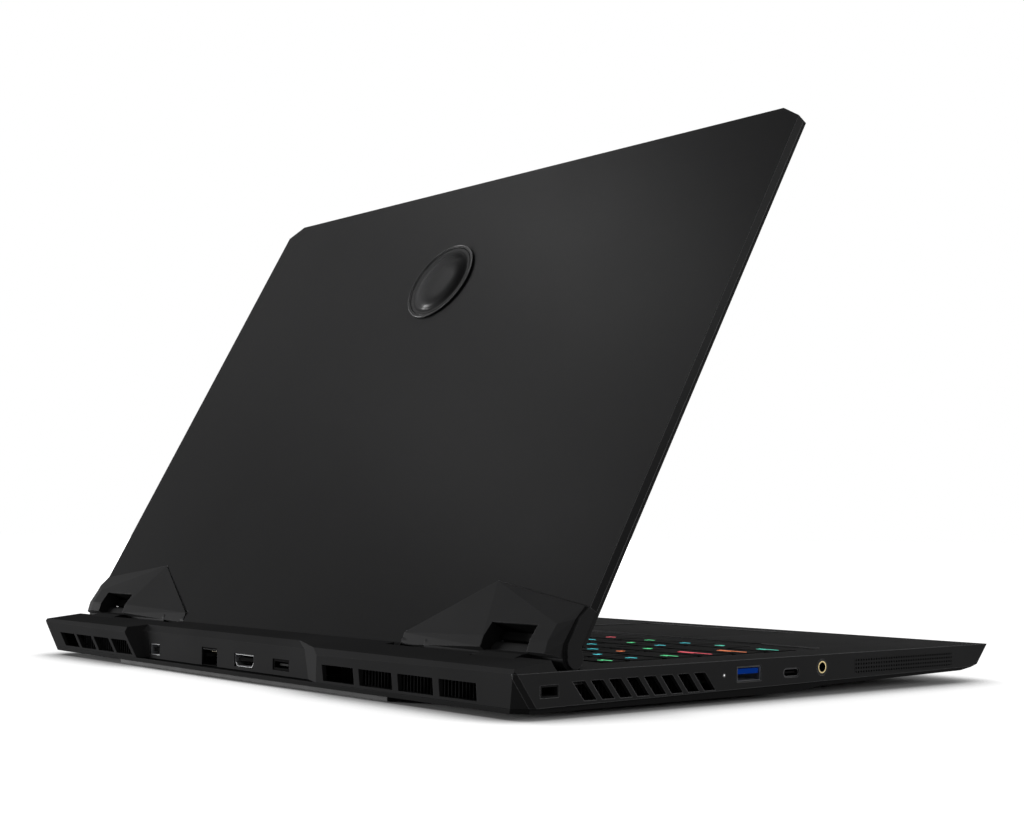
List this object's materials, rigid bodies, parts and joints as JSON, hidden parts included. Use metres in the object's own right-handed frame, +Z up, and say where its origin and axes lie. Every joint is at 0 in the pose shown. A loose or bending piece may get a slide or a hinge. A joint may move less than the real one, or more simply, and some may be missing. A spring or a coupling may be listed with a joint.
{
  "type": "laptop computer",
  "caption": "Laptop computer with its lid part way open on two hinges, a backlit keyboard, touchpad, fans, vents and ports in the rear and both sides.",
  "frame": {"origin": "on the table, under the middle of the base", "axes": "+X to the user's right, +Y from the user's front edge to the rear, +Z up"},
  "size_m": [0.358, 0.267, 0.2275],
  "materials": {
    "case_plastic": "fine matt black moulding",
    "bottom_plastic": "fine matt black moulding",
    "hinge_cover_plastic": "satin black moulding",
    "lid_aluminium": "brushed and anodised black",
    "bezel_plastic": "matt black",
    "screen_glass": "dark display panel, switched off",
    "lens_plastic": "clear dark lens",
    "badge_plastic": "dark gloss",
    "black_rubber": "matt",
    "screw_steel": "blackened steel",
    "keycap_plastic": "matt black with lit marks",
    "keyboard_aluminium": "anodised black sheet",
    "button_plastic": "satin black",
    "touchpad_plastic": "smooth satin black",
    "port_steel": "bright stamped sheet",
    "usb_blue": "blue insulator",
    "port_plastic": "black insulator",
    "contact_brass": "gold coloured plating",
    "lock_steel": "dark steel",
    "light_plastic": "clear, lit white",
    "board_green": "green circuit board",
    "drive_plastic": "dark board with chips",
    "chip_silicon": "polished grey",
    "battery_plastic": "black wrap",
    "speaker_plastic": "black",
    "grille_steel": "black painted slotted strip",
    "fan_plastic": "black",
    "pipe_copper": "bare copper",
    "fin_aluminium": "bare fins",
    "bracket_steel": "black painted steel",
    "hinge_steel": "bare steel",
    "washer_brass": "bronze",
    "cable_film": "amber film"
  },
  "bodies": {
    "base": {"top_case": "case_plastic", "rear_shroud": "case_plastic", "bottom_cover": "bottom_plastic", "rubber_feet": "black_rubber", "bottom_screws": "screw_steel", "keyboard_plate": "keyboard_aluminium", "usb_a_shells": "port_steel", "usb_c_shell": "port_steel", "hdmi_shell": "port_steel", "mini_dp_shell": "port_steel", "usb_a_tongues": "usb_blue", "port_tongues": "port_plastic", "audio_jack_body": "port_plastic", "ethernet_socket": "port_plastic", "power_inlet": "port_plastic", "audio_jack_ring": "contact_brass", "power_inlet_blade": "contact_brass", "lock_slot_plate": "lock_steel", "light_pipes": "light_plastic", "main_board": "board_green", "port_boards": "board_green", "memory_modules": "board_green", "storage_drive": "drive_plastic", "processor_chips": "chip_silicon", "battery": "battery_plastic", "speakers": "speaker_plastic", "speaker_grilles": "grille_steel", "fan_housings": "fan_plastic", "heat_pipes": "pipe_copper", "rear_heatsinks": "fin_aluminium", "side_heatsinks": "fin_aluminium", "hinge_brackets": "bracket_steel"},
    "lid": {"lid_cover": "lid_aluminium", "screen_bezel": "bezel_plastic", "screen_panel": "screen_glass", "screen_cable": "cable_film", "camera_lens": "lens_plastic", "hinge_cover_left": "hinge_cover_plastic", "hinge_cover_right": "hinge_cover_plastic", "badge": "badge_plastic", "lid_bumpers": "black_rubber", "hinge_leaves": "hinge_steel", "hinge_pins": "hinge_steel", "hinge_washers": "washer_brass"},
    "key_row_function_body": {"key_row_function": "keycap_plastic"},
    "key_row_number_body": {"key_row_number": "keycap_plastic"},
    "key_row_upper_body": {"key_row_upper": "keycap_plastic"},
    "key_row_home_body": {"key_row_home": "keycap_plastic"},
    "key_row_lower_body": {"key_row_lower": "keycap_plastic"},
    "key_row_bottom_body": {"key_row_bottom": "keycap_plastic"},
    "key_backspace_body": {"key_backspace": "keycap_plastic"},
    "key_enter_body": {"key_enter": "keycap_plastic"},
    "key_shift_left_body": {"key_shift_left": "keycap_plastic"},
    "key_shift_right_body": {"key_shift_right": "keycap_plastic"},
    "key_space_body": {"key_space": "keycap_plastic"},
    "key_arrows_body": {"key_arrows": "keycap_plastic"},
    "power_button_body": {"power_button": "button_plastic"},
    "touchpad_body": {"touchpad": "touchpad_plastic"},
    "fan_rotor_left_body": {"fan_rotor_left": "fan_plastic"},
    "fan_rotor_right_body": {"fan_rotor_right": "fan_plastic"}
  },
  "joints": [
    {"name": "lid_hinge", "type": "hinge", "parent": "base", "child": "lid", "pos_m": [0, 0.1053, 0.02], "axis": [-1, 0, 0], "range_deg": [-60, 70]},
    {"name": "key_row_function_press", "type": "slide", "parent": "base", "child": "key_row_function_body", "axis": [0, 0, -1], "range_m": [0, 0.0015], "stiffness_N_per_m": 400, "springref_m": -0.001},
    {"name": "key_row_number_press", "type": "slide", "parent": "base", "child": "key_row_number_body", "axis": [0, 0, -1], "range_m": [0, 0.0015], "stiffness_N_per_m": 400, "springref_m": -0.001},
    {"name": "key_row_upper_press", "type": "slide", "parent": "base", "child": "key_row_upper_body", "axis": [0, 0, -1], "range_m": [0, 0.0015], "stiffness_N_per_m": 400, "springref_m": -0.001},
    {"name": "key_row_home_press", "type": "slide", "parent": "base", "child": "key_row_home_body", "axis": [0, 0, -1], "range_m": [0, 0.0015], "stiffness_N_per_m": 400, "springref_m": -0.001},
    {"name": "key_row_lower_press", "type": "slide", "parent": "base", "child": "key_row_lower_body", "axis": [0, 0, -1], "range_m": [0, 0.0015], "stiffness_N_per_m": 400, "springref_m": -0.001},
    {"name": "key_row_bottom_press", "type": "slide", "parent": "base", "child": "key_row_bottom_body", "axis": [0, 0, -1], "range_m": [0, 0.0015], "stiffness_N_per_m": 400, "springref_m": -0.001},
    {"name": "key_backspace_press", "type": "slide", "parent": "base", "child": "key_backspace_body", "axis": [0, 0, -1], "range_m": [0, 0.0015], "stiffness_N_per_m": 400, "springref_m": -0.001},
    {"name": "key_enter_press", "type": "slide", "parent": "base", "child": "key_enter_body", "axis": [0, 0, -1], "range_m": [0, 0.0015], "stiffness_N_per_m": 400, "springref_m": -0.001},
    {"name": "key_shift_left_press", "type": "slide", "parent": "base", "child": "key_shift_left_body", "axis": [0, 0, -1], "range_m": [0, 0.0015], "stiffness_N_per_m": 400, "springref_m": -0.001},
    {"name": "key_shift_right_press", "type": "slide", "parent": "base", "child": "key_shift_right_body", "axis": [0, 0, -1], "range_m": [0, 0.0015], "stiffness_N_per_m": 400, "springref_m": -0.001},
    {"name": "key_space_press", "type": "slide", "parent": "base", "child": "key_space_body", "axis": [0, 0, -1], "range_m": [0, 0.0015], "stiffness_N_per_m": 400, "springref_m": -0.001},
    {"name": "key_arrows_press", "type": "slide", "parent": "base", "child": "key_arrows_body", "axis": [0, 0, -1], "range_m": [0, 0.0015], "stiffness_N_per_m": 400, "springref_m": -0.001},
    {"name": "power_button_press", "type": "slide", "parent": "base", "child": "power_button_body", "axis": [0, 0, -1], "range_m": [0, 0.0005], "stiffness_N_per_m": 600, "springref_m": -0.0005},
    {"name": "touchpad_click", "type": "hinge", "parent": "base", "child": "touchpad_body", "pos_m": [-0.036, -0.0555, 0.0144], "axis": [1, 0, 0], "range_deg": [0, 0.5], "stiffness_Nm_per_rad": 3, "springref_deg": -0.29},
    {"name": "fan_left_spin", "type": "hinge", "parent": "base", "child": "fan_rotor_left_body", "pos_m": [-0.112, 0.0615, 0.007], "axis": [0, 0, 1], "continuous": true},
    {"name": "fan_right_spin", "type": "hinge", "parent": "base", "child": "fan_rotor_right_body", "pos_m": [0.112, 0.0615, 0.007], "axis": [0, 0, 1], "continuous": true}
  ]
}
